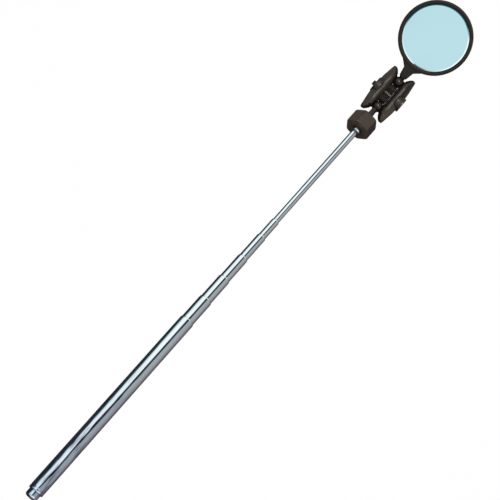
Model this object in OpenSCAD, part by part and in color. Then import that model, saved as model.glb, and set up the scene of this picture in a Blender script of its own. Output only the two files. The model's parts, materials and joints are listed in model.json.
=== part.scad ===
// Telescoping inspection mirror: a seven-tube friction pole, a two-ball clamp joint
// with one tension screw, and a round mirror head.
// The pole lies along +X with its tail end at the origin. The glass faces +Z.

/* [Pole] */
// Outside diameter of the handle tube
handle_d = 11; // [9:0.5:14]
// Step in outside diameter from each tube to the next
tube_step = 0.97; // [0.93:0.01:1.1]
// Wall thickness of every tube
tube_wall = 0.25; // [0.2:0.01:0.26]
// Length of the handle with its tail stub
handle_len = 157.7; // [150:0.1:220]
// Length of each inner tube, up to its mouth
inner_len = 140; // [100:1:140]
// How far the tubes stand out of one another, from the handle outwards
drawn = [20.8, 21.3, 21.9, 22.4, 17.1, 107.2]; // [3:0.1:120]
// Length of each friction sleeve
sleeve_len = 8; // [5:0.5:10]
// Diameter of the tail stub
stub_d = 8.8; // [7:0.1:9.6]
// Length of the tail stub
stub_len = 5; // [4:0.1:10]

/* [Collar] */
// Width of the hexagonal collar across its corners
collar_d = 22; // [16:0.5:26]
// Length of the hexagonal collar
collar_len = 12.7; // [10:0.1:16]
// Turn of the hexagon about the pole
collar_turn = 9.5; // [0:0.5:30]

/* [Clamp] */
// Diameter of each joint ball
ball_d = 9; // [8:0.1:9]
// Diameter of each ball's neck
neck_d = 4.6; // [4:0.1:4.8]
// Distance between the centres of the two balls
ball_gap = 26; // [25:0.5:32]
// Length of the clamp jaws
jaw_len = 42.5; // [41:0.5:50]
// Height of the jaws at their ridge
jaw_h = 10.4; // [9:0.1:12]
// Diameter of the tension screw
screw_d = 4; // [3:0.1:4]
// Distance from the collar to the centre of the lower ball
stud_len = 16.2; // [15:0.1:20]
// Tilt of the clamp above the pole
clamp_tilt = 20; // [-40:1:40]

/* [Mirror head] */
// Outside diameter of the mirror frame
frame_d = 58.5; // [50:0.5:80]
// Width of the frame's rim
rim_w = 2.8; // [2:0.05:4]
// Thickness of the frame
frame_h = 5; // [4.6:0.1:7]
// Thickness of the glass
glass_h = 2; // [1.5:0.1:2]
// Distance from the upper ball to the centre of the glass
head_reach = 44.3; // [43:0.1:60]
// Tilt of the mirror head above the pole
head_tilt = 40; // [-60:1:80]

/* [Hidden] */
$fn = 96;

// The small number that keeps cutting solids clear of the faces they cut through
eps = 0.01;
tip = 6; // index of the thinnest tube; the handle is 0

// Pole
fixed_gap = 0.01; // gap between pieces that are fastened together
sleeve_gap = 0.0175; // running clearance inside and outside each sleeve
mouth_gap = 0.03; // running clearance at each rolled mouth
bead_gap = 0.035; // clearance between a tube's end beads and the next bore
lip_len = 1.2; // how far each rolled mouth reaches back into its bore
lip_slope = 0.3;
bead_w = 0.7;
bead_start = 0.4; // distance of the first bead from the tube's inner end
slit_w = 0.8;
roll_r = 0.4; // how far each rolled edge turns in
roll_len = 1; // length of each rolled edge along the tube
crimp_back = 2; // distance of the tail crimp from the handle tube's end
crimp_depth = 0.2;
plug_len = 9; // length of the tail plug inside the handle tube

// Tip and collar
socket_len = 6; // depth of the tip tube inside the collar
ferrule_len = 2.6;
ferrule_flare = 0.62; // how far the ferrule stands off the tip tube
insert_len = 10;
shank_r = 1.25;
stem_r = 3;
collar_chamfer = 0.5;
collar_slope = 0.8; // rise of the collar's end cones over their width

// Clamp
ball_r = ball_d / 2;
cup_gap = 0.03; // running clearance between a ball and its cups
pin_gap = 0.05; // running clearance between a ball and its pin
pin_r = 1.55;
flat_at = 3.85; // distance of each ball's flat from its centre
pin_past = 1.3; // how far the pin runs past the ball's centre
mid_x = ball_gap / 2;
gap_y = 2.6; // half the distance between the jaws
jaw_w = 12.7; // distance of the jaws' outer faces from the clamp's centre plane
boss_r = 6.6;
boss_y = 13.4;
seat_y = 12.9; // height of the right jaw's seat for the screw head
head_r = 6.1;
head_h = 1.3;
screw_out = 15.4; // distance of the screw's tip from the centre plane
screw_r = screw_d / 2;
thread_gap = 0.03;
washer_r = 4.4;
washer_h = 0.8;
nut_flats = 7; // width of the nut across its flats
nut_h = 3.2;
nut_y = 9.9;
nut_gap = 0.03;
tongue_x = 5.2; // distance of each tongue from the screw
tongue_w = 2;
tongue_h = 4.4;
tongue_in = 0.8; // how far a tongue reaches into the other jaw
tongue_gap = 0.08;
web_h = 2.8; // height of the web that fills the gap between the jaws
web_in = 1.2; // how far the web starts inside each ball's outline
web_gap = 0.3; // clearance between the web's ends and the balls
opening_z = 1.9; // height above each ball's centre where the round opening round it starts

// Mirror head
rim_r = frame_d / 2;
pocket_r = rim_r - rim_w;
pad_h = 0.6;
wall_h = 1.2; // thickness of the frame's back
neck_w = 6.2; // width of the head's flat neck at the ball
neck_flare = 1.55; // how much wider the neck is on each side where it meets the gusset
gusset_x = 12.4; // distance of the gusset's start from the ball
gusset_bend = 1; // length of the bend on each side of that corner
gusset_turn = 26; // where the gusset's edges reach the rim
bevel_w = 1.3; // width of the glass's ground edge
bevel_h = 0.3;
rim_round = 1.1;

// Places along the pole
function tube_r(k) = (handle_d - k * tube_step) / 2;
function bore_r(k) = tube_r(k) - tube_wall;
function mouth_x(k) = k == 0 ? handle_len : mouth_x(k - 1) + drawn[k - 1];
function start_x(k) = k == 0 ? stub_len : mouth_x(k) - inner_len;
collar_x = mouth_x(tip);
ball_x = collar_x + collar_len + stud_len;

// Points on an arc about c of radius r, from angle a to angle b
function arc(c, r, a, b, n = 8) =
    [for (i = [0:n]) c + r * [cos(a + (b - a) * i / n), sin(a + (b - a) * i / n)]];

// Turns a profile drawn as [radius, distance along the pole] about the X axis
module turned(points) {
    rotate([0, 90, 0])
        rotate_extrude()
            polygon(points);
}

module rod(r, x0, x1) {
    translate([x0, 0, 0])
        rotate([0, 90, 0])
            cylinder(r = r, h = x1 - x0);
}

module cross_rod(r, x, y0, y1) {
    translate([x, y0, 0])
        rotate([-90, 0, 0])
            cylinder(r = r, h = y1 - y0);
}

module on_clamp() {
    translate([ball_x, 0, 0])
        rotate([0, -clamp_tilt, 0])
            children();
}

module on_head() {
    on_clamp()
        translate([ball_gap, 0, 0])
            rotate([0, clamp_tilt - head_tilt, 0])
                children();
}

// A tube's end turned in over an ellipse, from the outside of radius r to the end at x
function rolled(r, x, side) =
    [for (a = [0:15:90]) [r - roll_r * (1 - cos(a)), x - side * roll_len * (1 - sin(a))]];

// The inside of tube k, from its rolled mouth back to its bore
function mouth_inside(k) = let (r = tube_r(k + 1) + mouth_gap, m = mouth_x(k)) [
    [r, m], [r, m - lip_len + lip_slope], [bore_r(k), m - lip_len]
];

// A raised bead on a tube's outside that starts at x
function bead(k, x) = let (r = tube_r(k), top = bore_r(k - 1) - bead_gap) [
    [r, x], [top, x + bead_w / 4], [top, x + bead_w * 3 / 4], [r, x + bead_w]
];

function inner_end(k) = let (x = start_x(k), b = x + bead_start) concat(
    [[bore_r(k), x], [tube_r(k), x]],
    bead(k, b),
    bead(k, b + bead_w + sleeve_len + 4 * sleeve_gap)
);

module inner_tube(k) {
    turned(concat(inner_end(k), rolled(tube_r(k), mouth_x(k), 1), mouth_inside(k)));
}

module friction_sleeve(k) {
    x = start_x(k) + bead_start + bead_w + 2 * sleeve_gap;
    color("goldenrod")
        difference() {
            rod(bore_r(k - 1) - sleeve_gap, x, x + sleeve_len);
            rod(tube_r(k) + sleeve_gap, x - 1, x + sleeve_len + 1);
            translate([x - 1, -slit_w / 2, 0])
                cube([sleeve_len + 2, slit_w, handle_d]);
        }
}

module handle_tube() {
    r = tube_r(0);
    b = bore_r(0);
    x = stub_len;
    c = x + crimp_back;
    edge = rolled(r, x, -1);
    tail = concat(
        [[b, x + lip_len], [stub_d / 2 + mouth_gap, x + lip_len - lip_slope], [stub_d / 2 + mouth_gap, x]],
        [for (i = [len(edge) - 1:-1:0]) edge[i]],
        [[r, c - 0.45], [r - crimp_depth, c - 0.12], [r - crimp_depth, c + 0.12], [r, c + 0.45]]
    );
    crimp = [[b, c + 0.5], [b - crimp_depth, c + 0.22], [b - crimp_depth, c - 0.22], [b, c - 0.5]];
    color("silver")
        turned(concat(tail, rolled(r, handle_len, 1), mouth_inside(0), crimp));
}

module tail_plug() {
    r = stub_d / 2;
    p = bore_r(0) - fixed_gap;
    x = stub_len + lip_len + 0.1;
    c = stub_len + crimp_back;
    end_r = 1.7;
    color("silver")
        turned(concat(
            [[0, 0]],
            arc([r - end_r, end_r], end_r, -90, 0),
            [[r, x], [p, x], [p, c - 0.65], [p - 0.35, c - 0.38], [p - 0.35, c + 0.38], [p, c + 0.65]],
            [[p, x + plug_len - 0.6], [p - 0.6, x + plug_len], [0, x + plug_len]]
        ));
}

module stage_2_tube() {
    color("silver") inner_tube(1);
}

module stage_3_tube() {
    color("silver") inner_tube(2);
}

module stage_4_tube() {
    color("silver") inner_tube(3);
}

module stage_5_tube() {
    color("silver") inner_tube(4);
}

module stage_6_tube() {
    color("silver") inner_tube(5);
}

module tip_tube() {
    end = collar_x + socket_len;
    color("silver")
        turned(concat(inner_end(tip), [[tube_r(tip), end], [bore_r(tip), end]]));
}

module tip_ferrule() {
    r = tube_r(tip);
    x = collar_x - ferrule_len;
    color("silver")
        turned([
            [r + fixed_gap, x], [r + 0.2, x], [r + ferrule_flare, x + 1],
            [r + ferrule_flare, collar_x - fixed_gap], [r + fixed_gap, collar_x - fixed_gap]
        ]);
}

module tip_insert() {
    x = collar_x + socket_len - insert_len;
    color("goldenrod")
        difference() {
            rod(bore_r(tip) - fixed_gap, x, collar_x + socket_len);
            rod(shank_r + fixed_gap, x - 1, collar_x + socket_len + 1);
        }
}

// Six sides, with the corners of both ends turned to a cone
module hex_collar() {
    r = collar_d / 2;
    end_r = r - collar_chamfer;
    out_r = r + 1;
    rise = (out_r - end_r) * collar_slope;
    far = collar_len + 1;
    color("dimgray")
        translate([collar_x, 0, 0])
            difference() {
                intersection() {
                    rotate([collar_turn, 0, 0])
                        rotate([0, 90, 0])
                            rotate([0, 0, 30])
                                cylinder(r = r, h = collar_len, $fn = 6);
                    turned([[0, 0], [end_r, 0], [out_r, rise], [out_r, collar_len - rise],
                        [end_r, collar_len], [0, collar_len]]);
                }
                rod(tube_r(tip) + fixed_gap, -1, socket_len + 0.1);
                rod(stem_r + fixed_gap, socket_len + 0.1 - eps, far);
            }
}

// Stem through the collar, flared neck, and the pin that carries the lower ball
module ball_stud() {
    top = collar_x + collar_len;
    foot_r = 4.35;
    n = neck_d / 2;
    blend = foot_r - n;
    color("dimgray")
        turned(concat(
            [[0, collar_x - 2], [shank_r, collar_x - 2], [shank_r, collar_x + socket_len + 0.2]],
            [[stem_r, collar_x + socket_len + 0.2], [stem_r, top + 0.02], [foot_r, top + 0.02]],
            [for (i = [1:8]) [n + blend * (1 - sin(i * 90 / 8)), top + 1 + i]],
            [[n, ball_x - flat_at - 0.05], [pin_r, ball_x - flat_at - 0.05]],
            [[pin_r, ball_x + pin_past], [0, ball_x + pin_past]]
        ));
}

// A ball with a flat towards its neck, on the +X side, and a blind bore for its pin
module joint_ball() {
    color("dimgray")
        difference() {
            sphere(r = ball_r);
            translate([flat_at, -ball_r, -ball_r])
                cube([ball_r, ball_d, ball_d]);
            rod(pin_r + pin_gap, -pin_past - 0.1, ball_r + 1);
        }
}

module lower_ball() {
    translate([ball_x, 0, 0])
        mirror([1, 0, 0])
            joint_ball();
}

module upper_ball() {
    on_head()
        joint_ball();
}

// Half of a jaw's outline, from the middle to the tip, as [distance from the screw, height]
function jaw_half() = let (h = jaw_len / 2, b = ball_gap / 2) [
    [b + 2.6, gap_y], [b + 3.4, 4.2], [b + 4.7, 4.4], [h, 7.4], [h, 10.9], [b + 2, 11.8], [boss_r + 2, jaw_w]
];

module jaw_outline() {
    half = jaw_half();
    last = len(half) - 1;
    translate([mid_x, 0])
        polygon(concat(half, [for (i = [last:-1:0]) [-half[i].x, half[i].y]]));
}

// The height of the jaw falls from its ridge to both edges and to both tips
module jaw_section() {
    h = jaw_h / 2;
    polygon([
        [gap_y - 1, -1.2], [gap_y, -1.2], [4.6, -h + 1.4], [6.6, -h], [8.4, -h], [jaw_w + 1, -h + 1.8],
        [jaw_w + 1, h - 1.8], [8.4, h], [6.6, h], [4.6, h - 1.4], [gap_y, 1.2], [gap_y - 1, 1.2]
    ]);
}

module jaw_side() {
    h = jaw_h / 2;
    e = jaw_len / 2;
    translate([mid_x, 0])
        polygon([
            [-e, -h + 2.2], [-e + 9, -h], [e - 9, -h], [e, -h + 2.2],
            [e, h - 2.2], [e - 9, h], [-e + 9, h], [-e, h - 2.2]
        ]);
}

module jaw_blank() {
    intersection() {
        translate([0, 0, -jaw_h])
            linear_extrude(2 * jaw_h)
                offset(r = 0.9, $fn = 24)
                    offset(delta = -0.9)
                        jaw_outline();
        translate([mid_x - jaw_len, 0, 0])
            rotate([90, 0, 90])
                linear_extrude(2 * jaw_len)
                    jaw_section();
        rotate([90, 0, 0])
            translate([0, 0, -4 * gap_y - jaw_w])
                linear_extrude(2 * jaw_w + 8 * gap_y)
                    jaw_side();
    }
}

// A jaw on the +Y side, with anything added to it, and its two ball cups and the screw's hole
module jaw(boss_top) {
    difference() {
        union() {
            jaw_blank();
            cross_rod(boss_r, mid_x, jaw_w - 4, boss_top);
            children();
        }
        for (x = [0, ball_gap])
            translate([x, 0, 0]) {
                sphere(r = ball_r + cup_gap);
                for (z = [opening_z, -jaw_h])
                    translate([0, 0, z])
                        cylinder(r = ball_r - 0.1, h = jaw_h - opening_z);
            }
        cross_rod(screw_r + 0.1, mid_x, -gap_y - 1, screw_out + 1);
    }
}

module tongues(grow, y0, y1) {
    w = tongue_w + 2 * grow;
    h = tongue_h + 2 * grow;
    for (side = [-1, 1])
        translate([mid_x + side * tongue_x - w / 2, y0, -h / 2])
            cube([w, y1 - y0, h]);
}

// Fills the gap between the jaws from ball to ball, and carries the tongues
module web() {
    start = ball_r - web_in;
    difference() {
        translate([start, tongue_gap - gap_y, -web_h / 2])
            cube([ball_gap - 2 * start, 2 * gap_y + 1, web_h]);
        for (x = [0, ball_gap])
            cross_rod(ball_r + web_gap, x, -jaw_w, jaw_w);
    }
}

module left_jaw() {
    color("dimgray")
        on_clamp()
            difference() {
                jaw(boss_y) {
                    web();
                    tongues(0, -gap_y - tongue_in, gap_y + 1);
                }
                translate([mid_x, nut_y - nut_gap, 0])
                    rotate([-90, 0, 0])
                        cylinder(r = nut_flats / sqrt(3) + nut_gap, h = jaw_w, $fn = 6);
            }
}

module right_jaw() {
    color("dimgray")
        on_clamp()
            difference() {
                mirror([0, 1, 0])
                    jaw(seat_y);
                tongues(tongue_gap, -gap_y - tongue_in - 0.4, 0);
                cross_rod(washer_r + 0.1, mid_x, -jaw_w - 1, -seat_y + washer_h - 0.1);
            }
}

module tension_screw() {
    chamfer = 0.4;
    rim = head_r - chamfer;
    hex_r = 2.3;
    hex_deep = 0.9;
    foot = -seat_y - 0.1;
    top = foot - head_h;
    color("dimgray")
        on_clamp()
            translate([mid_x, 0, 0])
                rotate([-90, 0, 0])
                    difference() {
                        rotate_extrude()
                            polygon([
                                [0, top], [rim, top], [head_r, top + chamfer], [head_r, foot],
                                [screw_r, foot], [screw_r, screw_out - chamfer],
                                [screw_r - chamfer, screw_out], [0, screw_out]
                            ]);
                        translate([0, 0, top - 1])
                            cylinder(r = hex_r, h = hex_deep + 1, $fn = 6);
                    }
}

// A dished washer that keeps the screw tight
module spring_washer() {
    y = -seat_y + washer_h - 0.12;
    rise = washer_h - 0.06;
    thick = 0.4;
    inner = screw_r + 0.15;
    color("dimgray")
        on_clamp()
            translate([mid_x, 0, 0])
                rotate([-90, 0, 0])
                    rotate_extrude()
                        polygon([
                            [inner, y - rise], [inner, y - rise + thick], [washer_r, y], [washer_r, y - thick]
                        ]);
}

module tension_nut() {
    color("dimgray")
        on_clamp()
            translate([mid_x, nut_y, 0])
                rotate([-90, 0, 0])
                    difference() {
                        cylinder(r = nut_flats / sqrt(3), h = nut_h, $fn = 6);
                        translate([0, 0, -1])
                            cylinder(r = screw_r + thread_gap, h = nut_h + 2);
                    }
}

// Points on a smooth bend from a to b that leaves the corner c outside
function bend(a, c, b, n = 6) =
    [for (i = [0:n]) let (t = i / n) pow(1 - t, 2) * a + 2 * t * (1 - t) * c + t * t * b];

// One edge of the flat neck, from the ball to where its gusset runs into the rim
function neck_edge() = let (
    start = [ball_r + 0.6, neck_w / 2],
    c = [gusset_x, neck_w / 2 + neck_flare],
    end = [head_reach, 0] + (rim_r - 1) * [-cos(gusset_turn), sin(gusset_turn)],
    a = c + gusset_bend * (start - c) / norm(start - c),
    b = c + gusset_bend * (end - c) / norm(end - c)
) concat([start], bend(a, c, b), [end]);

module head_neck_outline() {
    edge = neck_edge();
    last = len(edge) - 1;
    polygon(concat(edge, [for (i = [last:-1:0]) [edge[i].x, -edge[i].y]]));
}

module mirror_frame() {
    low = -frame_h / 2 - 0.1;
    top = low + frame_h;
    floor_z = low + wall_h;
    n = neck_d / 2;
    color("dimgray")
        on_head()
            difference() {
                union() {
                    translate([head_reach, 0, 0])
                        rotate_extrude($fn = 128)
                            polygon(concat(
                                [[0, low]],
                                arc([rim_r - rim_round, low + rim_round], rim_round, -90, 0),
                                arc([rim_r - rim_round, top - rim_round], rim_round, 0, 90),
                                [[pocket_r + 0.3, top], [pocket_r, top - 0.3], [pocket_r, floor_z], [0, floor_z]]
                            ));
                    translate([0, 0, -n])
                        linear_extrude(2 * n)
                            head_neck_outline();
                    rod(n, flat_at + 0.05, ball_r + 2);
                    rod(pin_r, -pin_past, flat_at + 1);
                }
                translate([head_reach, 0, floor_z])
                    cylinder(r = pocket_r, h = frame_h);
            }
}

module mirror_pad() {
    color("black")
        on_head()
            translate([head_reach, 0, wall_h - frame_h / 2 - 0.1 + fixed_gap])
                cylinder(r = pocket_r - 0.8, h = pad_h - 2 * fixed_gap);
}

module mirror_glass() {
    low = wall_h + pad_h - frame_h / 2 - 0.1;
    r = pocket_r - 0.1;
    top = r - bevel_w;
    color("lightblue")
        on_head()
            translate([head_reach, 0, low])
                rotate_extrude($fn = 128)
                    polygon([[0, 0], [r - bevel_h, 0], [r, bevel_h], [r, glass_h - bevel_h], [top, glass_h], [0, glass_h]]);
}

module stage_2_sleeve() friction_sleeve(1);
module stage_3_sleeve() friction_sleeve(2);
module stage_4_sleeve() friction_sleeve(3);
module stage_5_sleeve() friction_sleeve(4);
module stage_6_sleeve() friction_sleeve(5);
module tip_sleeve() friction_sleeve(tip);

handle_tube();
tail_plug();
stage_2_tube();
stage_3_tube();
stage_4_tube();
stage_5_tube();
stage_6_tube();
tip_tube();
stage_2_sleeve();
stage_3_sleeve();
stage_4_sleeve();
stage_5_sleeve();
stage_6_sleeve();
tip_sleeve();
tip_ferrule();
tip_insert();
hex_collar();
ball_stud();
lower_ball();
right_jaw();
left_jaw();
tension_screw();
spring_washer();
tension_nut();
upper_ball();
mirror_frame();
mirror_pad();
mirror_glass();
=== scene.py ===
import json
import math

import bmesh
import bpy
from mathutils import Matrix, Vector


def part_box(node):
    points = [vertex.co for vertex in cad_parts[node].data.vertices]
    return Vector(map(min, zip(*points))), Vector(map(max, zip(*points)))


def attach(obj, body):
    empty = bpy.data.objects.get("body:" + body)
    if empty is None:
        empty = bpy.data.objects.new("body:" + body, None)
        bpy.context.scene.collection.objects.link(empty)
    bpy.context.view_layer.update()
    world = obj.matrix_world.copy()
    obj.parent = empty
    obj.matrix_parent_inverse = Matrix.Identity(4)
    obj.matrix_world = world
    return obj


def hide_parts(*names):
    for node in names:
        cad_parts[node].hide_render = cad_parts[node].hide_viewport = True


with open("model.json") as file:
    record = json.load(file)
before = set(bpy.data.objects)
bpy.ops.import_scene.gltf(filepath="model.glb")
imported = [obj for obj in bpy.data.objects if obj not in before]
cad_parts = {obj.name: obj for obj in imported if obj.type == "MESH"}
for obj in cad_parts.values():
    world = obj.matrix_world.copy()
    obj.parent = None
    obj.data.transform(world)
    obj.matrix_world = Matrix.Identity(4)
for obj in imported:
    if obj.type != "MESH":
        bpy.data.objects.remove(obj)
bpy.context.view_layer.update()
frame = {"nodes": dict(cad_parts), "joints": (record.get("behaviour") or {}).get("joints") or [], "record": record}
MM = 0.001
HEAD_VIEW_X = 0.55  # the glass at rest reflects the part of the studio around x = -HEAD_VIEW_X

# ---------------------------------------------------------------------------
# Places taken from the frame
# ---------------------------------------------------------------------------
joints = {j["name"]: j for j in frame["joints"]}
lower_centre = Vector(joints["lower_ball_swing"]["pos_m"])
upper_centre = Vector(joints["upper_ball_swing"]["pos_m"])
head_axis = Vector(joints["mirror_turn"]["axis"]).normalized()
clamp_axis = (upper_centre - lower_centre).normalized()
ball_gap = (upper_centre - lower_centre).length / MM
side_axis = Vector((0, 1, 0))
collar_low, collar_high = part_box("hex_collar")
ball_low, ball_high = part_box("lower_ball")
ball_r = (ball_high.y - ball_low.y) / 2 / MM
rim_low, rim_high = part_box("mirror_frame")
rim_r = (rim_high.y - rim_low.y) / 2 / MM
pad_low, pad_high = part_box("mirror_pad")
head_reach = ((pad_low + pad_high) / 2 - upper_centre).dot(head_axis) / MM


def local_frame(origin, along):
    """A matrix from millimetres along, sideways and up to metres in the object's frame."""
    up = along.cross(side_axis)
    turn = Matrix((along, side_axis, up)).transposed().to_4x4()
    return Matrix.Translation(origin) @ turn @ Matrix.Scale(MM, 4)


clamp_frame = local_frame(lower_centre, clamp_axis)
head_frame = local_frame(upper_centre, head_axis)
pole_frame = local_frame(Vector((0, 0, 0)), Vector((1, 0, 0)))


# ---------------------------------------------------------------------------
# Node helpers
# ---------------------------------------------------------------------------
class Nodes:
    """Adds shader nodes and links them by value."""

    def __init__(self, tree):
        self.tree = tree
        tree.nodes.clear()

    def add(self, kind, **settings):
        n = self.tree.nodes.new(kind)
        for key, value in settings.items():
            setattr(n, key, value)
        return n

    def link(self, value, socket):
        if isinstance(value, bpy.types.NodeSocket):
            self.tree.links.new(value, socket)
        else:
            socket.default_value = value

    def noise(self, vector, scale, detail=3.0, rough=0.5):
        n = self.add("ShaderNodeTexNoise")
        self.link(vector, n.inputs["Vector"])
        n.inputs["Scale"].default_value = scale
        n.inputs["Detail"].default_value = detail
        n.inputs["Roughness"].default_value = rough
        return n.outputs["Fac"]

    def stretch(self, scale, coords="Object"):
        co = self.add("ShaderNodeTexCoord")
        m = self.add("ShaderNodeMapping")
        self.link(co.outputs[coords], m.inputs["Vector"])
        m.inputs["Scale"].default_value = scale
        return m.outputs["Vector"]

    def ramp(self, value, stops, interpolation="LINEAR"):
        n = self.add("ShaderNodeValToRGB")
        self.link(value, n.inputs["Fac"])
        n.color_ramp.interpolation = interpolation
        ramp = n.color_ramp.elements
        while len(ramp) > 1:
            ramp.remove(ramp[-1])
        ramp[0].position = stops[0][0]
        ramp[0].color = rgba(stops[0][1])
        for position, colour in stops[1:]:
            ramp.new(position).color = rgba(colour)
        return n.outputs["Color"]

    def span(self, value, low, high, to_low, to_high):
        n = self.add("ShaderNodeMapRange")
        self.link(value, n.inputs["Value"])
        n.inputs["From Min"].default_value = low
        n.inputs["From Max"].default_value = high
        n.inputs["To Min"].default_value = to_low
        n.inputs["To Max"].default_value = to_high
        return n.outputs["Result"]

    def math(self, operation, a, b=0.0):
        n = self.add("ShaderNodeMath", operation=operation)
        self.link(a, n.inputs[0])
        self.link(b, n.inputs[1])
        return n.outputs["Value"]

    def mix(self, factor, a, b, blend="MIX"):
        n = self.add("ShaderNodeMix", data_type="RGBA", blend_type=blend)
        self.link(factor, n.inputs["Factor"])
        self.link(rgba(a) if not isinstance(a, bpy.types.NodeSocket) else a, n.inputs["A"])
        self.link(rgba(b) if not isinstance(b, bpy.types.NodeSocket) else b, n.inputs["B"])
        return n.outputs["Result"]

    def bump(self, height, strength, distance, normal=None):
        n = self.add("ShaderNodeBump")
        self.link(height, n.inputs["Height"])
        n.inputs["Strength"].default_value = strength
        n.inputs["Distance"].default_value = distance
        if normal is not None:
            self.link(normal, n.inputs["Normal"])
        return n.outputs["Normal"]

    def occlusion(self, distance):
        n = self.add("ShaderNodeAmbientOcclusion", samples=8)
        n.inputs["Distance"].default_value = distance
        return n.outputs["AO"]

    def principled(self, **values):
        n = self.add("ShaderNodeBsdfPrincipled")
        for key, value in values.items():
            self.link(value, n.inputs[key.replace("_", " ")])
        out = self.add("ShaderNodeOutputMaterial")
        self.tree.links.new(n.outputs["BSDF"], out.inputs["Surface"])
        return n


def rgba(c):
    if isinstance(c, (int, float)):
        return (c, c, c, 1.0)
    return tuple(c) if len(c) == 4 else (*c, 1.0)


def srgb(r, g, b):
    """An 8-bit display colour as linear values."""
    return tuple(((v / 255 + 0.055) / 1.055) ** 2.4 if v > 10 else v / 255 / 12.92 for v in (r, g, b))


def new_material(name):
    m = bpy.data.materials.new(name)
    m.use_nodes = True
    return m, Nodes(m.node_tree)


# ---------------------------------------------------------------------------
# Materials
# ---------------------------------------------------------------------------
def chrome_material():
    """Bright chrome on drawn tube, with handling dents that grow towards the tail, a painted pale lavender-blue
    reflection tint and painted dark reflection streaks near the tail, and painted shade where one tube runs into
    the next.
    """
    m, n = new_material("polished_chrome")
    split = n.add("ShaderNodeSeparateXYZ")
    n.link(n.add("ShaderNodeTexCoord").outputs["Object"], split.inputs["Vector"])
    near_tail = n.span(split.outputs["X"], 0.015, 0.12, 1.0, 0.0)
    draw_lines = n.noise(n.stretch((40, 2600, 2600)), 1.0, 4.0, 0.6)
    smudge = n.noise(n.stretch((60, 240, 240)), 1.0, 4.0, 0.62)
    dents = n.noise(n.stretch((38, 170, 170)), 1.0, 2.0, 0.5)
    streak = n.noise(n.stretch((42, 420, 420)), 1.0, 3.0, 0.6)
    rough = n.math("ADD", n.span(smudge, 0.35, 0.75, 0.04, 0.12), n.span(draw_lines, 0.3, 0.8, 0.0, 0.05))
    plate_and_painted_reflection = n.mix(smudge, srgb(228, 233, 235), srgb(242, 245, 246))
    # Painted reflection: a pale lavender-blue tint near the tail.
    plate_and_painted_reflection = n.mix(n.math("MULTIPLY", near_tail, 0.7), plate_and_painted_reflection, srgb(206, 212, 232))
    # Painted reflection: dark purple streaks near the tail.
    painted_streak_reflection = n.math("MULTIPLY", n.span(streak, 0.52, 0.6, 0.0, 0.8), near_tail)
    plate_and_painted_reflection = n.mix(painted_streak_reflection, plate_and_painted_reflection, srgb(124, 120, 134))
    # Painted shade: darker where one tube runs into the next, from ambient occlusion over 1 mm.
    groove = n.span(n.occlusion(1.0 * MM), 0.35, 0.95, 0.0, 1.0)
    colour = n.mix(groove, srgb(66, 66, 70), plate_and_painted_reflection)
    height = n.math("MULTIPLY", dents, n.span(near_tail, 0.0, 1.0, 0.18, 1.0))
    normal = n.bump(height, 1.0, 0.75 * MM)
    normal = n.bump(draw_lines, 0.05, 0.01 * MM, normal)
    n.principled(Base_Color=colour, Metallic=1.0, Roughness=rough, Normal=normal)
    return m


def plastic_material(name, base, light, rough, grain):
    """Moulded plastic: a fine grain, painted shade that darkens recesses and dims their sheen, and burnished,
    slightly paler edges.
    """
    m, n = new_material(name)
    fine = n.noise(n.stretch((1, 1, 1)), 2600, 3.0, 0.65)
    broad = n.noise(n.stretch((1, 1, 1)), 130, 4.0, 0.6)
    edge = n.add("ShaderNodeNewGeometry").outputs["Pointiness"]
    # Painted shade: ambient occlusion over 7 mm marks the recesses and gaps.
    painted_recess_shade = n.math("POWER", n.span(n.occlusion(7.0 * MM), 0.5, 0.97, 0.0, 1.0), 1.5)
    worn = n.math("MULTIPLY", n.span(edge, 0.54, 0.72, 0.0, 0.28), n.span(broad, 0.3, 0.65, 0.35, 1.0))
    worn = n.math("MULTIPLY", worn, n.math("POWER", painted_recess_shade, 2.0))
    mottled = n.mix(n.span(broad, 0.35, 0.7, 0.0, 1.0), base, tuple(v * 1.3 for v in base))
    colour = n.mix(worn, mottled, light)
    # Painted shade: recesses darken towards a fifth of the base colour.
    colour = n.mix(painted_recess_shade, tuple(v * 0.2 for v in base), colour)
    grained = n.span(fine, 0.3, 0.7, rough - 0.05, rough + 0.07)
    roughness = n.math("SUBTRACT", grained, n.math("MULTIPLY", worn, 0.12))
    normal = n.bump(broad, 0.08, 0.1 * MM)
    normal = n.bump(fine, grain, 0.03 * MM, normal)
    # Painted shade on the sheen: less specular in recesses.
    sheen = n.math("MULTIPLY", painted_recess_shade, 0.22)
    n.principled(Base_Color=colour, Roughness=roughness, Specular_IOR_Level=sheen, Normal=normal)
    return m


def brass_material():
    m, n = new_material("spring_brass")
    drawn = n.noise(n.stretch((80, 1800, 1800)), 1.0, 3.0)
    tarnish = n.noise(n.stretch((1, 1, 1)), 420, 4.0, 0.6)
    colour = n.mix(tarnish, srgb(168, 128, 62), srgb(222, 186, 108))
    n.principled(Base_Color=colour, Metallic=1.0, Roughness=n.span(drawn, 0.3, 0.7, 0.22, 0.38))
    return m


def black_steel_material():
    m, n = new_material("black_steel")
    turned = n.noise(n.stretch((900, 900, 900)), 1.0, 4.0, 0.6)
    edge = n.add("ShaderNodeNewGeometry").outputs["Pointiness"]
    worn = n.span(edge, 0.54, 0.7, 0.0, 0.4)
    colour = n.mix(worn, n.mix(turned, srgb(30, 27, 25), srgb(44, 40, 37)), srgb(84, 78, 73))
    shade = n.span(n.occlusion(7.0 * MM), 0.5, 0.9, 0.0, 1.0)
    colour = n.mix(shade, srgb(8, 7, 6), colour)
    normal = n.bump(turned, 0.1, 0.02 * MM)
    rough = n.span(turned, 0.3, 0.7, 0.36, 0.5)
    sheen = n.math("MULTIPLY", shade, 0.5)
    n.principled(Base_Color=colour, Metallic=0.12, Roughness=rough, Specular_IOR_Level=sheen, Normal=normal)
    return m


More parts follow.
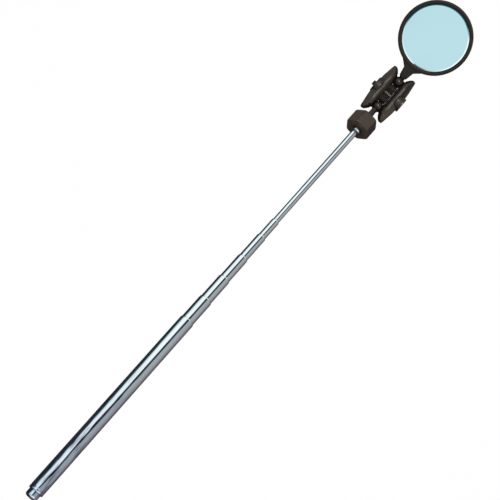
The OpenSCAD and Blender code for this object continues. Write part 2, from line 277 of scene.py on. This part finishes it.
def foam_material():
    m, n = new_material("foam_tape")
    cells = n.noise(n.stretch((1, 1, 1)), 1800, 3.0, 0.7)
    colour = n.mix(cells, srgb(26, 26, 26), srgb(58, 58, 58))
    n.principled(Base_Color=colour, Roughness=0.95, Normal=n.bump(cells, 0.8, 0.1 * MM))
    return m


def mirror_material():
    """Silvered glass whose ground edge gets a painted dark blue-green reflection where it looks to the far left.
    """
    m, n = new_material("mirror_glass")
    haze = n.noise(n.stretch((18, 18, 18)), 1.0, 3.0, 0.5)
    specks = n.noise(n.stretch((1, 1, 1)), 900, 2.0)
    colour = n.mix(n.span(haze, 0.3, 0.7, 0.0, 1.0), srgb(238, 247, 248), srgb(244, 251, 252))
    coords = n.add("ShaderNodeTexCoord")
    facing = n.add("ShaderNodeVectorMath", operation="DOT_PRODUCT")
    n.link(coords.outputs["Normal"], facing.inputs[0])
    facing.inputs[1].default_value = head_axis.cross(side_axis)
    ground = n.span(facing.outputs["Value"], 0.993, 0.999, 1.0, 0.0)
    split = n.add("ShaderNodeSeparateXYZ")
    n.link(coords.outputs["Reflection"], split.inputs["Vector"])
    from_head = n.math("ADD", split.outputs["X"], HEAD_VIEW_X)
    leftward = n.math("MULTIPLY", split.outputs["Y"], 0.97)
    far_left = n.math("ADD", n.math("MULTIPLY", from_head, 2.35), leftward)
    # Painted reflection: the ground edge turns dark blue-green where it reflects towards the far left.
    painted_edge_reflection = n.math("MULTIPLY", ground, n.span(far_left, 0.15, 0.45, 0.0, 1.0))
    colour = n.mix(painted_edge_reflection, colour, (0.035, 0.15, 0.17))
    rough = n.math("ADD", n.span(haze, 0.3, 0.7, 0.015, 0.045), n.span(specks, 0.72, 0.8, 0.0, 0.1))
    n.principled(Base_Color=colour, Metallic=1.0, Roughness=rough)
    return m


chrome = chrome_material()
plastic = plastic_material("black_plastic", srgb(40, 35, 31), srgb(92, 84, 76), rough=0.42, grain=0.14)
ball_plastic = plastic_material("black_ball", srgb(34, 30, 28), srgb(80, 74, 68), rough=0.3, grain=0.1)
# A darker copy of the black plastic: painted shade for the web deep in the jaws' gap.
web_painted_shade_plastic = plastic_material("web_painted_shade_plastic", srgb(15, 13, 12), srgb(22, 19, 17), rough=0.65, grain=0.1)
brass = brass_material()
black_steel = black_steel_material()
foam = foam_material()
silvered = mirror_material()
MATERIALS = {
    "polished_chrome": chrome,
    "spring_brass": brass,
    "black_plastic": plastic,
    "black_ball": ball_plastic,
    "black_steel": black_steel,
    "foam_tape": foam,
    "mirror_glass": silvered,
}


# ---------------------------------------------------------------------------
# Mesh helpers
# ---------------------------------------------------------------------------
def smooth_by_angle(obj, degrees=32):
    """Smooth faces, with the edges sharper than the angle kept as edges."""
    mesh = obj.data
    mesh.polygons.foreach_set("use_smooth", [True] * len(mesh.polygons))
    bm = bmesh.new()
    bm.from_mesh(mesh)
    limit = math.radians(degrees)
    for e in bm.edges:
        e.smooth = len(e.link_faces) == 2 and e.calc_face_angle(0.0) < limit
    bm.to_mesh(mesh)
    bm.free()


def new_object(name, bm, place, material):
    bmesh.ops.transform(bm, matrix=place, verts=bm.verts)
    bmesh.ops.recalc_face_normals(bm, faces=bm.faces)
    mesh = bpy.data.meshes.new(name)
    bm.to_mesh(mesh)
    bm.free()
    mesh.materials.append(material)
    obj = bpy.data.objects.new(name, mesh)
    bpy.context.scene.collection.objects.link(obj)
    return obj


def close_rings(bm, rings):
    """Joins rings of points with quads, and closes the two ends."""
    loops = [[bm.verts.new(p) for p in ring] for ring in rings]
    for a, b in zip(loops, loops[1:]):
        for i in range(len(a)):
            j = (i + 1) % len(a)
            bm.faces.new((a[i], a[j], b[j], b[i]))
    bm.faces.new(loops[0][::-1])
    bm.faces.new(loops[-1])


def apply_modifiers(obj):
    depsgraph = bpy.context.evaluated_depsgraph_get()
    mesh = bpy.data.meshes.new_from_object(obj.evaluated_get(depsgraph))
    obj.modifiers.clear()
    obj.data = mesh


def cut(obj, cutters):
    """Cuts each closed cutter object out of obj, then removes the cutters."""
    for cutter in cutters:
        mod = obj.modifiers.new("cut", "BOOLEAN")
        mod.operation = "DIFFERENCE"
        mod.solver = "EXACT"
        mod.object = cutter
    apply_modifiers(obj)
    for cutter in cutters:
        bpy.data.objects.remove(cutter)


def join_solid(obj, others):
    """Unites other closed objects with obj, then removes them."""
    for other in others:
        mod = obj.modifiers.new("join", "BOOLEAN")
        mod.operation = "UNION"
        mod.solver = "EXACT"
        mod.object = other
    apply_modifiers(obj)
    for other in others:
        bpy.data.objects.remove(other)


def sphere_object(name, centre, radius, place):
    bm = bmesh.new()
    bmesh.ops.create_uvsphere(bm, u_segments=64, v_segments=32, radius=radius,
                              matrix=Matrix.Translation(centre))
    return new_object(name, bm, place, plastic)


def turned_object(name, profile, place, material, segments=96):
    """Turns a closed outline of (radius, height) points about the local along axis."""
    bm = bmesh.new()
    rings = []
    for i in range(segments):
        a = 2 * math.pi * i / segments
        rings.append([bm.verts.new((x, r * math.cos(a), r * math.sin(a))) for r, x in profile])
    count = len(profile)
    for i in range(segments):
        a, b = rings[i], rings[(i + 1) % segments]
        for k in range(count):
            j = (k + 1) % count
            bm.faces.new((a[k], a[j], b[j], b[k]))
    bmesh.ops.remove_doubles(bm, verts=bm.verts, dist=1e-5)
    bmesh.ops.dissolve_degenerate(bm, dist=1e-6, edges=bm.edges)
    return new_object(name, bm, place, material)


def cross_cylinder(name, centre, radius, y0, y1, place, segments=64):
    """A cylinder along the local sideways axis."""
    bm = bmesh.new()
    turns = [2 * math.pi * i / segments for i in range(segments)]
    rings = [[(centre + radius * math.cos(a), y, radius * math.sin(a)) for a in turns] for y in (y0, y1)]
    close_rings(bm, rings)
    return new_object(name, bm, place, plastic)


def upright_cylinder(name, centre, radius, z0, z1, place, segments=128):
    """A cylinder along the local up axis."""
    bm = bmesh.new()
    turns = [2 * math.pi * i / segments for i in range(segments)]
    rings = [[(centre + radius * math.cos(a), radius * math.sin(a), z) for a in turns] for z in (z0, z1)]
    close_rings(bm, rings)
    return new_object(name, bm, place, plastic)


def stand_for(obj, node):
    """Makes a new piece ride on the node's body, take its slot and stand for it."""
    record = frame["record"]
    body = next(b for b, names in record["behaviour"]["bodies"].items() if node in names)
    slot = next(s["material_slot"] for s in record["subparts"] if s["node"] == node)
    obj.data.materials.clear()
    obj.data.materials.append(MATERIALS[slot])
    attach(obj, body)
    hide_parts(node)
    return obj


# ---------------------------------------------------------------------------
# Clamp jaws
# ---------------------------------------------------------------------------
MID = ball_gap / 2
JAW_HALF = 21.25
GAP = 2.6
BOSS_R = 6.6
BOSS_FOOT = 8.6
LEFT_BOSS_TOP, RIGHT_BOSS_TOP = 13.4, 12.9
SCREW_HOLE_R = 2.1
NUT_FLATS, NUT_FLOOR = 7.0, 9.87
HEAD_SEAT_R, HEAD_SEAT = 4.5, 12.2
CUP_R = ball_r + 0.03
OPENING_R, OPENING_Z = ball_r - 0.1, 1.9
WEB_CLEARANCE = 0.27
TONGUE_X, TONGUE_W, TONGUE_H, TONGUE_IN = 5.2, 2.0, 4.4, 0.8
TOOTH_PITCH = 3.4
PAST = 16.0  # past the clamp's widest place, for cuts that go right through


def on_line(x, points):
    """The height at x of a line through the points."""
    if x <= points[0][0]:
        return points[0][1]
    for (x0, y0), (x1, y1) in zip(points, points[1:]):
        if x <= x1:
            return y0 + (y1 - y0) * (x - x0) / (x1 - x0)
    return points[-1][1]


def jaw_inner(d):
    """Distance of the jaw's inner edge from the clamp's centre plane, d from the screw."""
    return on_line(d, [(MID + 2.5, GAP), (MID + 3.4, 4.15), (MID + 4.7, 4.45), (JAW_HALF, 7.2)])


def jaw_outer(d):
    return on_line(d, [(BOSS_R + 1.8, 12.7), (MID + 2, 11.8), (JAW_HALF, 10.95)])


def jaw_height(d):
    return on_line(d, [(11.5, 5.2), (JAW_HALF, 3.0)])


# (share of the way from the inner to the outer edge, share of the height) on the jaw's upper half
JAW_SHAPE = [
    (0.0, 0.06), (0.0, 0.2), (0.02, 0.27), (0.2, 0.7), (0.3, 0.9), (0.37, 0.985), (0.42, 1.0),
    (0.55, 1.0), (0.6, 0.97), (0.93, 0.69), (0.985, 0.6), (1.0, 0.5), (1.0, 0.12),
]


def jaw_section(d):
    """A closed ring of (sideways, up) points around the jaw, d from the screw."""
    inner, outer, h = jaw_inner(d), jaw_outer(d), jaw_height(d)
    top = [(inner + (outer - inner) * t, h * z) for t, z in JAW_SHAPE]
    return top + [(y, -z) for y, z in top[::-1]]


def jaw_top(y, d):
    """The height of the jaw's upper face at a distance y from the centre plane."""
    inner, outer = jaw_inner(d), jaw_outer(d)
    return jaw_height(d) * on_line((y - inner) / (outer - inner), JAW_SHAPE[2:11])


def jaw_object(name, side):
    """side is 1 for the left jaw, on +Y, and -1 for the right."""
    bm = bmesh.new()
    steps = [-JAW_HALF, -21.0, -20.5, -19.6, -18.6, -17.7, -17.0, -16.4, -15.9, -15.4]
    steps += [-14.0, -11.5, -8.4, -5.0, 0.0]
    steps += [-s for s in steps[-2::-1]]
    rings = []
    for s in steps:
        section = jaw_section(abs(s))
        pinch = 1.0 - 0.2 * max(0.0, (abs(s) - 20.0) / 1.25) ** 2
        mid_y = sum(y for y, z in section) / len(section)
        rings.append([(MID + s, side * (mid_y + (y - mid_y) * pinch), z * pinch) for y, z in section])
    close_rings(bm, rings)
    obj = new_object(name, bm, clamp_frame, plastic)
    sub = obj.modifiers.new("round", "SUBSURF")
    sub.levels = sub.render_levels = 2
    apply_modifiers(obj)
    return obj


def boss_object(side, top):
    """The round raised seat on a jaw's outer face."""
    soft, softer = 0.15, 0.5
    outer = [(0.0, BOSS_FOOT), (BOSS_R, BOSS_FOOT), (BOSS_R, top - softer)]
    outer += [(BOSS_R - soft, top - soft), (BOSS_R - softer, top), (0.0, top)]
    bm = bmesh.new()
    segments = 64
    rings = []
    for i in range(segments):
        a = 2 * math.pi * i / segments
        rings.append([bm.verts.new((MID + r * math.cos(a), side * y, r * math.sin(a))) for r, y in outer])
    for i in range(segments):
        a, b = rings[i], rings[(i + 1) % segments]
        for k in range(len(outer) - 1):
            bm.faces.new((a[k], a[k + 1], b[k + 1], b[k]))
    bmesh.ops.remove_doubles(bm, verts=bm.verts, dist=1e-5)
    return new_object("boss", bm, clamp_frame, plastic)


def box_object(name, low, high, place, bevel=0.0):
    bm = bmesh.new()
    bmesh.ops.create_cube(bm, size=1.0)
    size = [b - a for a, b in zip(low, high)]
    centre = [(a + b) / 2 for a, b in zip(low, high)]
    bmesh.ops.scale(bm, vec=size, verts=bm.verts)
    bmesh.ops.translate(bm, vec=centre, verts=bm.verts)
    if bevel:
        bmesh.ops.bevel(bm, geom=bm.edges[:], offset=bevel, segments=2, affect="EDGES")
    return new_object(name, bm, place, plastic)


def grip_strip(side, start, end):
    """A strip of fine cross ribs on a jaw's outer slope."""
    y0, y1, pitch = 8.9, 11.2, 1.5
    count = int((end - start) / (pitch / 5))
    bm = bmesh.new()
    rings = []
    for i in range(count + 1):
        d = start + (end - start) * i / count
        lift = 0.2 + 0.3 * math.cos(2 * math.pi * (d - start) / pitch)
        z0, z1 = jaw_top(y0, d), jaw_top(y1 + 0.3, d)
        ring = [(y0, z0 - 1.2), (y0, z0 + lift), (y1, z1 + lift), (y1, z1 - 1.2)]
        rings.append([(MID + d, side * y, z) for y, z in ring])
    close_rings(bm, rings)
    return new_object("grip", bm, clamp_frame, plastic)


def inner_rib(side, half_length):
    """A flat-topped rib along a jaw's inner edge."""
    y0, y1 = sorted((side * (GAP + 0.05), side * 4.3))
    half_h = 2.2
    low, high = (MID - half_length, y0, -half_h), (MID + half_length, y1, half_h)
    return box_object("rib", low, high, clamp_frame, 0.3)


def tongue_box(side, grow, y0, y1):
    """A tongue from y0 to y1, or with grow the slot that takes it."""
    x = MID + side * TONGUE_X
    half_w, half_h = TONGUE_W / 2 + grow, TONGUE_H / 2 + grow
    low, high = (x - half_w, y0, -half_h), (x + half_w, y1, half_h)
    return box_object("tongue", low, high, clamp_frame, 0 if grow else 0.2)


def build_web():
    """The left jaw's web between the balls, with its cross teeth and tongues, in the jaws' shadow; it takes a
    darker copy of the black plastic as painted shade.
    """
    start, half_h = CUP_R - 1.2, 1.4
    rooted = GAP + 1.4
    low, high = (start, 0.08 - GAP, -half_h), (ball_gap - start, GAP + 1, half_h)
    web = box_object("jaw_web", low, high, clamp_frame)
    teeth = []
    for k in (-2, -1, 1, 2):
        x, half_w, tooth_h = MID + k * TOOTH_PITCH, 0.5, 2.1
        low, high = (x - half_w, 0.1 - GAP, -tooth_h), (x + half_w, rooted, tooth_h)
        teeth.append(box_object("tooth", low, high, clamp_frame, 0.15))
    tongues = [tongue_box(s, 0, -GAP - TONGUE_IN, rooted) for s in (-1, 1)]
    join_solid(web, teeth + tongues)
    room_r = CUP_R + WEB_CLEARANCE
    room = [cross_cylinder("ball_room", x, room_r, -13, 13, clamp_frame) for x in (0, ball_gap)]
    cut(web, room + [cross_cylinder("hole", MID, SCREW_HOLE_R, -6, PAST, clamp_frame)])
    smooth_by_angle(web, 30)
    web.data.materials.clear()
    web.data.materials.append(web_painted_shade_plastic)
    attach(web, "left_jaw")
    return web


def cups():
    """The two ball cups, with a round opening above and below each ball."""
    made = []
    for x in (0, ball_gap):
        made.append(sphere_object("cup", (x, 0, 0), CUP_R, clamp_frame))
        made.append(upright_cylinder("opening", x, OPENING_R, OPENING_Z, 12, clamp_frame))
        made.append(upright_cylinder("opening", x, OPENING_R, -12, -OPENING_Z, clamp_frame))
    return made


def build_left_jaw():
    """The jaw on the nut's side, with the hexagonal pocket that holds the nut."""
    obj = jaw_object("left_jaw_shell", 1)
    join_solid(obj, [boss_object(1, LEFT_BOSS_TOP)])
    nut_r = NUT_FLATS / math.sqrt(3) + 0.03
    cut(obj, cups() + [
        cross_cylinder("hole", MID, SCREW_HOLE_R, -6, PAST, clamp_frame),
        cross_cylinder("pocket", MID, nut_r, NUT_FLOOR, PAST, clamp_frame, 6),
    ])
    smooth_by_angle(obj, 30)
    return stand_for(obj, "left_jaw")


def build_right_jaw():
    """The jaw on the screw head's side, ribbed for grip and slotted for the other jaw's tongues."""
    obj = jaw_object("right_jaw_shell", -1)
    join_solid(obj, [boss_object(-1, RIGHT_BOSS_TOP), inner_rib(-1, 9.0), grip_strip(-1, 3.6, 18.6)])
    groove = box_object("groove", (MID - 10.5, -5.25, 2.6), (MID + 10.5, -4.6, 7), clamp_frame)
    slots = [tongue_box(s, 0.08, -GAP - TONGUE_IN - 0.4, 0) for s in (-1, 1)]
    cut(obj, slots + cups() + [
        groove,
        cross_cylinder("hole", MID, SCREW_HOLE_R, -PAST, 0, clamp_frame),
        cross_cylinder("seat", MID, HEAD_SEAT_R, -PAST, -HEAD_SEAT, clamp_frame),
    ])
    smooth_by_angle(obj, 30)
    return stand_for(obj, "right_jaw")


# ---------------------------------------------------------------------------
# Hexagonal collar
# ---------------------------------------------------------------------------
def hex_radius(a, flat_r, turn, sharp):
    """Radius at angle a of a hexagon with slightly rounded corners."""
    facing = [math.cos(a - turn - k * math.pi / 3) for k in range(6)]
    return sum((c / flat_r) ** sharp for c in facing if c > 0) ** (-1 / sharp)


def build_collar():
    x0, x1 = collar_low.x / MM, collar_high.x / MM
    corner_r, chamfer, slope, socket = 11.0, 0.5, 0.8, 6.1
    flat_r = corner_r * math.cos(math.pi / 6)
    turn = math.radians(39.5)
    bore, stem = 2.61, 3.01
    groove_angles = [math.radians(a) for a in (63.5, 73.5, 243.5, 253.5)]
    angles = sorted(
        [2 * math.pi * i / 180 for i in range(180)]
        + [g + math.radians(da) for g in groove_angles for da in (-0.9, -0.45, 0.45, 0.9)]
    )

    def groove_depth(a):
        near = min(abs(a - g) for g in groove_angles)
        return 0.28 * max(0.0, 1 - near / math.radians(1.5))

    def side_radius(a, depth):
        cone = corner_r - chamfer + depth / slope
        side = hex_radius(a, flat_r, turn, 70.0) - (groove_depth(a) if depth > 0.9 else 0.0)
        return (cone ** -50 + side ** -50) ** (-1 / 50)

    depths = [0.0, 0.08, 0.2, 0.4, 0.65, 0.95, 1.3, 2.0]
    stations = [(x0 + d, d) for d in depths] + [(x1 - d, d) for d in depths[::-1]]
    side = [[(x, side_radius(a, depth), a) for a in angles] for x, depth in stations]
    rim_in = [[(ring[0][0], 0.97 * r, a) for _, r, a in ring] for ring in (side[0], side[-1])]

    def plain(x, r):
        return [(x, r, a) for a in angles]

    rings = [plain(x0, bore), rim_in[0]] + side + [rim_in[1], plain(x1, stem), plain(x0 + socket, stem)]
    rings.append(plain(x0 + socket, bore))
    bm = bmesh.new()
    loops = [[bm.verts.new((x, r * math.cos(a), r * math.sin(a))) for x, r, a in ring] for ring in rings]
    for k, a in enumerate(loops):
        b = loops[(k + 1) % len(loops)]
        for i in range(len(angles)):
            j = (i + 1) % len(angles)
            bm.faces.new((a[i], a[j], b[j], b[i]))
    obj = new_object("hex_collar_moulding", bm, pole_frame, plastic)
    smooth_by_angle(obj, 24)
    return stand_for(obj, "hex_collar")


# ---------------------------------------------------------------------------
# Mirror frame
# ---------------------------------------------------------------------------
RIM_R, RIM_W, RIM_LOW, RIM_TOP, BACK = rim_r - 0.01, 2.8, -2.6, 2.4, 1.2
NECK_HALF, NECK_BEND = 4.65, 12.4


def rim_object():
    pocket, floor_z, r = RIM_R - RIM_W, RIM_LOW + BACK, 1.1
    turn = [math.radians(9 * i) for i in range(11)]
    profile = [(0.0, RIM_LOW), (RIM_R - 8, RIM_LOW), (RIM_R - 3.2, RIM_LOW)]
    profile += [(RIM_R - r + r * math.sin(a), RIM_LOW + r - r * math.cos(a)) for a in turn]
    profile += [(RIM_R - r + r * math.cos(a), RIM_TOP - r + r * math.sin(a)) for a in turn]
    profile += [(pocket + 0.45, RIM_TOP), (pocket + 0.15, RIM_TOP - 0.12), (pocket, RIM_TOP - 0.4)]
    profile += [(pocket, floor_z), (0.0, floor_z)]
    bm = bmesh.new()
    segments = 192
    rings = []
    for i in range(segments):
        a = 2 * math.pi * i / segments
        rings.append([bm.verts.new((head_reach + q * math.cos(a), q * math.sin(a), z)) for q, z in profile])
    for i in range(segments):
        a, b = rings[i], rings[(i + 1) % segments]
        for k in range(len(profile) - 1):
            bm.faces.new((a[k], a[k + 1], b[k + 1], b[k]))
    bmesh.ops.remove_doubles(bm, verts=bm.verts, dist=1e-5)
    return new_object("mirror_frame_moulding", bm, head_frame, plastic)


def gusset_half_width(x):
    """Half the width of the flat neck, with a tight bend where its gusset starts."""
    end_a, end_r = math.radians(25), RIM_R - 0.8
    end_x, end_y = head_reach - end_r * math.cos(end_a), end_r * math.sin(end_a)
    start_x, start_half, soft = 4.6, 3.1, 0.12
    slim = start_half + (NECK_HALF - start_half) * (x - start_x) / (NECK_BEND - start_x)
    wide = NECK_HALF + (end_y - NECK_HALF) * (x - NECK_BEND) / (end_x - NECK_BEND)
    return soft * math.log(math.exp(slim / soft) + math.exp(wide / soft))


def neck_object():
    """A flat moulded neck with rounded edges, round at the ball and spreading into the rim."""
    stations = [3.9, 4.1, 4.5, 5.0, 5.6, 6.5, 8.0, 10.0, 11.5]
    stations += [12.0, 12.3, 12.5, 12.8, 13.4, 14.5, 16.0, 18.0, 20.0]
    rings = []
    count, half_h = 40, 2.25
    for x in stations:
        w = on_line(x, [(4.5, 2.3), (5.6, gusset_half_width(5.6))]) if x < 5.6 else gusset_half_width(x)
        power = on_line(x, [(4.2, 1.0), (6.0, 0.45)])
        edge = min(w, 2.3)
        ring = []
        for i in range(count):
            a = 2 * math.pi * i / count
            c, s = math.cos(a), math.sin(a)
            y = math.copysign(w - edge + edge * abs(c) ** power, c)
            ring.append((x, y, math.copysign(abs(s) ** power, s) * half_h - 0.05))
        rings.append(ring)
    bm = bmesh.new()
    close_rings(bm, rings)
    return new_object("neck", bm, head_frame, plastic)


def build_frame():
    """The round frame with its back, neck and the pin that the upper ball turns on, in one moulding."""
    obj = rim_object()
    neck = neck_object()
    pin_r, pin_end, pin_root = 1.55, -1.3, 5.0
    outline = [(0.0, pin_end), (pin_r, pin_end), (pin_r, pin_root), (0.0, pin_root)]
    pin = turned_object("pin", outline, head_frame, plastic, 48)
    well_r, well_floor = RIM_R - RIM_W + 0.5, RIM_LOW + BACK - 0.3
    well = upright_cylinder("well", head_reach, well_r, well_floor, RIM_TOP + 2, head_frame)
    cut(neck, [well])
    join_solid(obj, [neck, pin])
    smooth_by_angle(obj, 35)
    return stand_for(obj, "mirror_frame")


# ---------------------------------------------------------------------------
# CAD nodes that keep their shape
# ---------------------------------------------------------------------------
def finish_cad_nodes():
    """Gives each CAD node its slot's material and smooth faces."""
    slots = {s["node"]: s["material_slot"] for s in frame["record"]["subparts"]}
    for node, obj in frame["nodes"].items():
        obj.data.materials.clear()
        obj.data.materials.append(MATERIALS[slots[node]])
        obj.data.polygons.foreach_set("material_index", [0] * len(obj.data.polygons))
        smooth_by_angle(obj, 30)


# ---------------------------------------------------------------------------
# Studio: the bands that the chrome reflects, the floor, lights and camera
# ---------------------------------------------------------------------------
def studio_bands(n, direction):
    """The studio as polished metal sees it: white to one side, grey to the other, dark between.

    Returns the colour and the direction's three parts.
    """
    split = n.add("ShaderNodeSeparateXYZ")
    n.link(direction, split.inputs["Vector"])
    x, y, z = split.outputs
    turn = n.math("ARCTAN2", y, z)
    widen = n.span(x, 0.1, 0.3, 1.5, 1.0)
    left_side = n.math("GREATER_THAN", turn, 0.0)
    scale = n.math("ADD", 1.0, n.math("MULTIPLY", left_side, n.math("SUBTRACT", widen, 1.0)))
    turn = n.math("MULTIPLY", turn, scale)
    turn = n.span(turn, -math.pi, math.pi, 0.0, 1.0)
    bands = n.ramp(turn, [
        (0.00, srgb(70, 60, 64)), (0.16, srgb(106, 92, 102)), (0.22, srgb(132, 126, 134)),
        (0.30, srgb(152, 161, 164)), (0.40, srgb(164, 174, 178)), (0.44, srgb(142, 150, 156)),
        (0.454, srgb(36, 42, 48)), (0.512, srgb(28, 34, 40)),
        (0.528, srgb(226, 236, 242)), (0.56, srgb(255, 255, 255)), (0.65, srgb(240, 253, 255)),
        (0.70, srgb(188, 214, 222)), (0.73, srgb(56, 70, 74)), (0.80, srgb(28, 36, 40)),
        (1.0, srgb(50, 52, 54)),
    ])
    overhead = n.span(n.math("ABSOLUTE", n.math("ARCTAN2", y, z)), 0.9, 1.15, 1.0, 0.0)
    far_wall = n.math("MULTIPLY", n.span(x, 0.62, 0.72, 0.0, 1.0), overhead)
    return n.mix(far_wall, bands, srgb(255, 255, 255)), x, y, z


def build_world():
    """White to the camera, soft grey to matt surfaces, the studio's bands to polished ones."""
    world = bpy.data.worlds.new("studio")
    bpy.context.scene.world = world
    world.use_nodes = True
    n = Nodes(world.node_tree)
    direction = n.add("ShaderNodeTexCoord").outputs["Generated"]
    bands, along, across, above = studio_bands(n, direction)
    head_glow = n.mix(n.span(along, -0.75, -0.5, 0.0, 1.0), srgb(193, 222, 229), srgb(179, 210, 216))
    from_head = n.math("ADD", along, HEAD_VIEW_X)
    near_right = n.math("ADD", n.math("MULTIPLY", from_head, -1.13), n.math("MULTIPLY", across, -1.92))
    head_glow = n.mix(n.span(near_right, 0.32, 0.5, 0.0, 1.0), head_glow, srgb(250, 252, 255))
    behind = n.span(along, -0.1, 0.04, 1.0, 0.0)
    at_glass = n.math("MULTIPLY", behind, n.span(above, 0.35, 0.55, 0.0, 1.0))
    seen = n.mix(at_glass, bands, head_glow)
    path = n.add("ShaderNodeLightPath")
    soft = n.mix(path.outputs["Is Glossy Ray"], srgb(128, 128, 130), seen)
    colour = n.mix(path.outputs["Is Camera Ray"], soft, (1.0, 1.0, 1.0))
    back = n.add("ShaderNodeBackground")
    n.link(colour, back.inputs["Color"])
    n.link(n.span(path.outputs["Is Glossy Ray"], 0.0, 1.0, 1.0, 1.12), back.inputs["Strength"])
    out = n.add("ShaderNodeOutputWorld")
    n.link(back.outputs["Background"], out.inputs["Surface"])


def build_floor(height):
    """A plain pale floor that polished surfaces see as more of the studio."""
    m, n = new_material("studio_floor")
    incoming = n.add("ShaderNodeNewGeometry").outputs["Incoming"]
    flip = n.add("ShaderNodeVectorMath", operation="SCALE")
    n.link(incoming, flip.inputs[0])
    flip.inputs["Scale"].default_value = -1.0
    bands = studio_bands(n, flip.outputs["Vector"])[0]
    path = n.add("ShaderNodeLightPath")
    grain = n.noise(n.stretch((1, 1, 1)), 3, 3.0)
    white = n.mix(grain, srgb(254, 254, 254), srgb(255, 255, 255))
    dim = n.mix(path.outputs["Is Diffuse Ray"], white, srgb(110, 108, 106))
    glow = n.add("ShaderNodeEmission")
    n.link(n.mix(path.outputs["Is Glossy Ray"], dim, bands), glow.inputs["Color"])
    out = n.add("ShaderNodeOutputMaterial")
    n.link(glow.outputs["Emission"], out.inputs["Surface"])
    bm = bmesh.new()
    bmesh.ops.create_grid(bm, x_segments=1, y_segments=1, size=4.0)
    floor = new_object("studio_floor", bm, Matrix.Translation((0.2, 0, height)), m)


def area_light(name, place, target, size, power, colour, receivers):
    """A softbox that lights only the receivers."""
    data = bpy.data.lights.new(name, "AREA")
    data.shape = "RECTANGLE"
    data.size, data.size_y = size
    data.energy = power
    data.color = colour
    obj = bpy.data.objects.new(name, data)
    bpy.context.scene.collection.objects.link(obj)
    obj.location = place
    obj.rotation_mode = "QUATERNION"
    obj.rotation_quaternion = (Vector(target) - Vector(place)).to_track_quat("-Z", "Y")
    obj.light_linking.receiver_collection = receivers
    return obj


def light_group(name, objects):
    group = bpy.data.collections.new(name)
    for obj in objects:
        group.objects.link(obj)
    return group


def build_lights(jaws, collar, head):
    """Softboxes for the black pieces; the chrome and the glass see only the studio around them."""
    nodes = frame["nodes"]
    small_names = ("tension_screw", "tension_nut", "spring_washer", "lower_ball", "upper_ball")
    small = [nodes[name] for name in small_names]
    clamp = light_group("clamp_pieces", jaws + small)
    tail = light_group("collar_pieces", [collar, nodes["ball_stud"]])
    mirror = light_group("head_pieces", [head, nodes["mirror_pad"]])
    centre = (lower_centre + upper_centre) / 2
    over, near = Vector((-0.06, 0.02, 0.6)), Vector((-0.6, 0.0, 0.3))
    left, right = Vector((-0.1, 0.55, 0.4)), Vector((-0.1, -0.5, 0.42))
    area_light("clamp_over", centre + over, centre, (0.2, 0.15), 3.2, (1.0, 0.95, 0.92), clamp)
    area_light("clamp_left", centre + left, centre, (0.5, 0.25), 0.7, (1.0, 0.98, 0.98), clamp)
    area_light("clamp_right", centre + right, centre, (0.5, 0.25), 1.5, (1.0, 0.78, 0.54), clamp)
    area_light("collar_over", centre + over, centre, (0.3, 0.2), 4.0, (1.0, 0.97, 0.95), tail)
    area_light("collar_left", centre + left, centre, (0.5, 0.25), 5.0, (1.0, 0.97, 0.95), tail)
    area_light("collar_near", centre + near, centre, (0.3, 0.3), 4.5, (1.0, 0.9, 0.8), tail)
    area_light("head_over", centre + over, centre, (0.3, 0.2), 1.35, (1.0, 0.86, 0.74), mirror)


def build_camera():
    """Above the pole and behind its middle, with the pole turned up to the right in the picture."""
    tilt, turn = math.radians(24.2), math.radians(41.6)
    lean = Matrix.Rotation(math.radians(2.3), 3, "X")
    target, distance = Vector((0.230, 0, 0)), 0.727
    back = Vector((-math.sin(tilt), 0, math.cos(tilt)))
    along = Vector((math.cos(tilt), 0, math.sin(tilt)))
    across = Vector((0, -1, 0))
    up = lean @ (along * math.cos(turn) - across * math.sin(turn))
    right = lean @ (along * math.sin(turn) + across * math.cos(turn))
    back = lean @ back
    data = bpy.data.cameras.new("camera")
    data.lens, data.sensor_width = 72, 36
    data.clip_start, data.clip_end = 0.01, 20
    cam = bpy.data.objects.new("camera", data)
    bpy.context.scene.collection.objects.link(cam)
    facing = Matrix((right, up, back)).transposed().to_4x4()
    cam.matrix_world = Matrix.Translation(target + back * distance) @ facing
    bpy.context.scene.camera = cam


finish_cad_nodes()
jaw_pieces = [build_left_jaw(), build_right_jaw(), build_web()]
collar_piece = build_collar()
head_piece = build_frame()
build_world()
swing_reach = (ball_gap + head_reach + rim_r) * MM
FLOOR_CLEARANCE = 0.01
build_floor(lower_centre.z - swing_reach - FLOOR_CLEARANCE)
build_lights(jaw_pieces, collar_piece, head_piece)
build_camera()
bpy.context.scene.view_settings.view_transform = "Standard"
